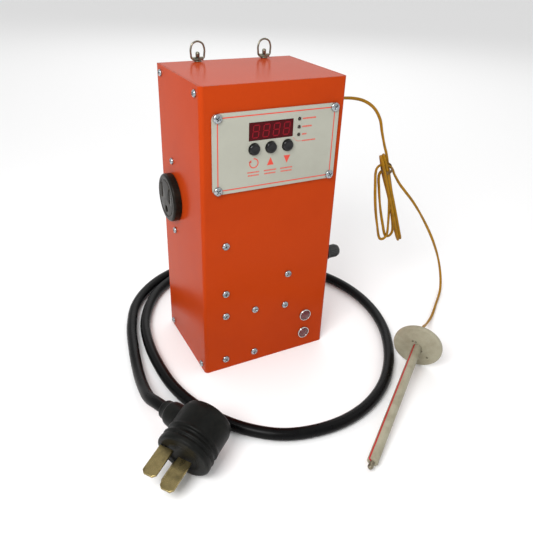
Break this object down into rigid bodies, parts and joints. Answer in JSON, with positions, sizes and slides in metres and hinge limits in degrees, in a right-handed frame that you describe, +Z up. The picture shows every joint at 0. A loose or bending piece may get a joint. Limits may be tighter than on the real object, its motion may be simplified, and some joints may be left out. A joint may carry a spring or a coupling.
{
  "type": "remote kiln temperature controller",
  "caption": "Wall-hung box controller for a pottery kiln, with display, push buttons, power receptacle, mains cord and plug, and a thermocouple probe on a lead.",
  "frame": {"origin": "centre of the underside of the box", "axes": "+Z up, the front panel faces -Y, +X to the right as seen from the front"},
  "size_m": [0.5036, 0.4469, 0.3515],
  "materials": {
    "paint": "glossy orange-red powder coat with a slight orange peel",
    "zinc": "bright zinc-plated screws",
    "plate": "pale grey-beige printed panel",
    "window": "dark maroon display filter",
    "black_plastic": "black moulded plastic",
    "board": "green solder mask",
    "chrome": "polished chrome bezel",
    "red_lens": "red moulded lens",
    "steel": "plain dull steel",
    "relay_case": "dark moulded relay case",
    "rubber": "black rubber with a soft sheen",
    "brass": "used brass blades",
    "ceramic": "unglazed off-white ceramic",
    "braid": "ochre glass-fibre braid"
  },
  "bodies": {
    "case": {"cover": "paint", "chassis": "paint", "side_screw_1": "zinc", "side_screw_2": "zinc", "side_screw_3": "zinc", "side_screw_4": "zinc", "side_screw_5": "zinc", "side_screw_6": "zinc", "side_screw_7": "zinc", "side_screw_8": "zinc", "panel_screw_1": "zinc", "panel_screw_2": "zinc", "panel_screw_3": "zinc", "panel_screw_4": "zinc", "panel_screw_5": "zinc", "panel_screw_6": "zinc", "panel_screw_7": "zinc", "panel_screw_8": "zinc", "faceplate_screw_1": "zinc", "faceplate_screw_2": "zinc", "faceplate_screw_3": "zinc", "faceplate_screw_4": "zinc", "faceplate": "plate", "display_window": "window", "display_module": "black_plastic", "control_board": "board", "pilot_bezel_1": "chrome", "pilot_lens_1": "red_lens", "pilot_bezel_2": "chrome", "pilot_lens_2": "red_lens", "receptacle": "black_plastic", "receptacle_yoke": "steel", "receptacle_screw_1": "zinc", "receptacle_screw_2": "zinc", "fuse_holder": "black_plastic", "lead_grommet": "rubber", "transformer": "steel", "relay_1": "relay_case", "relay_2": "relay_case", "terminal_block": "black_plastic", "cord_gland": "rubber", "hanger_stud_1": "steel", "hanger_stud_2": "steel", "power_cord": "rubber", "plug_body": "rubber", "plug_blade_1": "brass", "plug_blade_2": "brass", "plug_ground_pin": "brass", "probe_head": "ceramic", "probe_tube": "ceramic", "probe_tip": "steel", "lead_upper": "braid", "lead_hank": "braid", "lead_lower": "braid"},
    "start_button": {"start_button": "black_plastic"},
    "up_button": {"up_button": "black_plastic"},
    "down_button": {"down_button": "black_plastic"},
    "fuse_cap": {"fuse_cap": "black_plastic"},
    "hanger_loop_1": {"hanger_loop_1": "steel"},
    "hanger_loop_2": {"hanger_loop_2": "steel"}
  },
  "joints": [
    {"name": "start_button_press", "type": "slide", "parent": "case", "child": "start_button", "axis": [0, 1, 0], "range_m": [0, 0.0008], "stiffness_N_per_m": 900},
    {"name": "up_button_press", "type": "slide", "parent": "case", "child": "up_button", "axis": [0, 1, 0], "range_m": [0, 0.0008], "stiffness_N_per_m": 900},
    {"name": "down_button_press", "type": "slide", "parent": "case", "child": "down_button", "axis": [0, 1, 0], "range_m": [0, 0.0008], "stiffness_N_per_m": 900},
    {"name": "fuse_cap_turn", "type": "hinge", "parent": "case", "child": "fuse_cap", "pos_m": [0.09, -0.05, 0.123], "axis": [-1, 0, 0], "range_deg": [0, 90]},
    {"name": "hanger_loop_1_swivel", "type": "hinge", "parent": "case", "child": "hanger_loop_1", "pos_m": [-0.0365, 0.054, 0.333], "axis": [0, 0, 1], "continuous": true},
    {"name": "hanger_loop_2_swivel", "type": "hinge", "parent": "case", "child": "hanger_loop_2", "pos_m": [0.0435, 0.054, 0.333], "axis": [0, 0, 1], "continuous": true}
  ]
}
